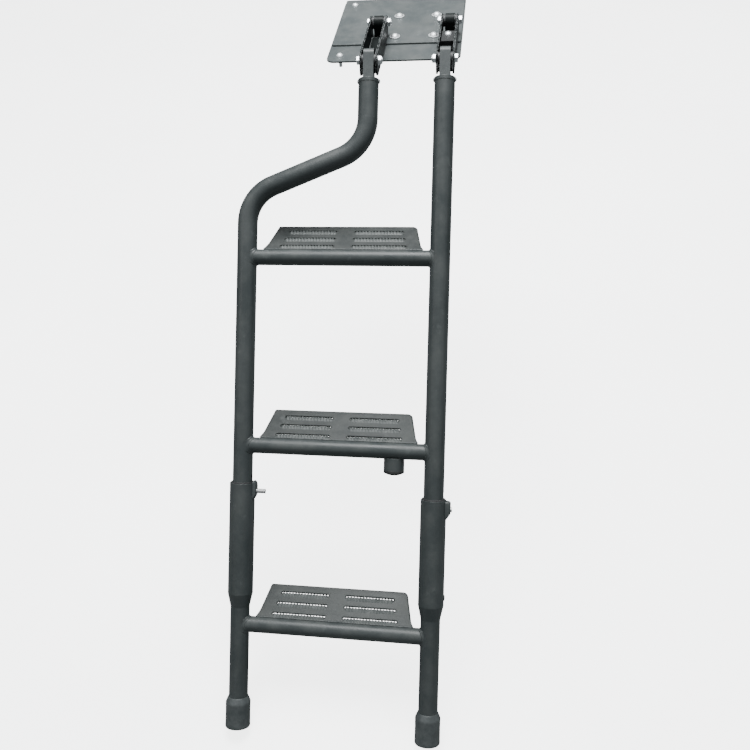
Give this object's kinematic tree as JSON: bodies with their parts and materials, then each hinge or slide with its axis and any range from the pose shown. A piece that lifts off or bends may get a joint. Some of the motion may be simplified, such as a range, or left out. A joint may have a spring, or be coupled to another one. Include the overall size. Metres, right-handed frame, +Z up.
{
  "type": "folding tailgate step",
  "caption": "Folding ladder step for a truck tailgate: hinged plate, swing arms, offset rail, slotted treads and a sliding lower section with rubber feet.",
  "frame": {"origin": "centre of the four mounting bolts, on the underside of the backing plate", "axes": "+X along the hinges to the right seen from behind the truck, +Y towards the cab, +Z up"},
  "size_m": [0.3942, 1.1689, 0.863],
  "materials": {
    "frame_steel": "satin charcoal powder coat on steel tube",
    "tread_steel": "textured charcoal powder coat on pressed steel",
    "zinc": "bright zinc plate",
    "pin_steel": "bare turned steel",
    "rubber": "moulded rubber",
    "nylon": "black nylon"
  },
  "bodies": {
    "mount": {"backing_plate": "frame_steel", "hinge_plate": "frame_steel", "plate_bolts": "zinc", "plate_washers": "zinc", "wing_screws": "zinc", "lug_left": "frame_steel", "lug_right": "frame_steel", "rest_pads": "rubber", "rear_bolt_left": "zinc", "rear_bolt_right": "zinc", "rear_nuts": "zinc", "rear_spacers": "nylon"},
    "arms": {"arm_left": "frame_steel", "arm_right": "frame_steel", "front_bolt_left": "zinc", "front_bolt_right": "zinc", "front_nuts": "zinc", "front_spacers": "nylon", "buffer_block": "rubber", "buffer_screw": "zinc"},
    "ladder": {"tongue_left": "frame_steel", "tongue_right": "frame_steel", "collar_left": "frame_steel", "collar_right": "frame_steel", "collar_pins": "zinc", "rail_left": "frame_steel", "rail_right": "frame_steel", "rail_end_bushes": "nylon", "rung_top": "frame_steel", "rung_middle": "frame_steel", "tread_top": "tread_steel", "tread_middle": "tread_steel", "bumper_post": "frame_steel", "bumper_cap": "rubber"},
    "lower_section": {"leg_left": "frame_steel", "leg_right": "frame_steel", "guide_bushes": "nylon", "lock_housing_left": "frame_steel", "lock_housing_right": "frame_steel", "rung_bottom": "frame_steel", "tread_bottom": "tread_steel", "foot_left": "rubber", "foot_right": "rubber"},
    "pin_left": {"lock_pin_left": "pin_steel"},
    "pin_right": {"lock_pin_right": "pin_steel"}
  },
  "joints": [
    {"name": "arm_swing", "type": "hinge", "parent": "mount", "child": "arms", "pos_m": [0, -0.038, 0.03], "axis": [-1, 0, 0], "range_deg": [0, 180]},
    {"name": "ladder_fold", "type": "hinge", "parent": "arms", "child": "ladder", "pos_m": [0, -0.19, 0.03], "axis": [-1, 0, 0], "range_deg": [0, 45]},
    {"name": "leg_slide", "type": "slide", "parent": "ladder", "child": "lower_section", "axis": [0, -0.7071, -0.7071], "range_m": [-0.025, 0.1]},
    {"name": "pin_left_push", "type": "slide", "parent": "lower_section", "child": "pin_left", "axis": [1, 0, 0], "range_m": [-0.008, 0]},
    {"name": "pin_right_push", "type": "slide", "parent": "lower_section", "child": "pin_right", "axis": [1, 0, 0], "range_m": [-0.008, 0]}
  ]
}
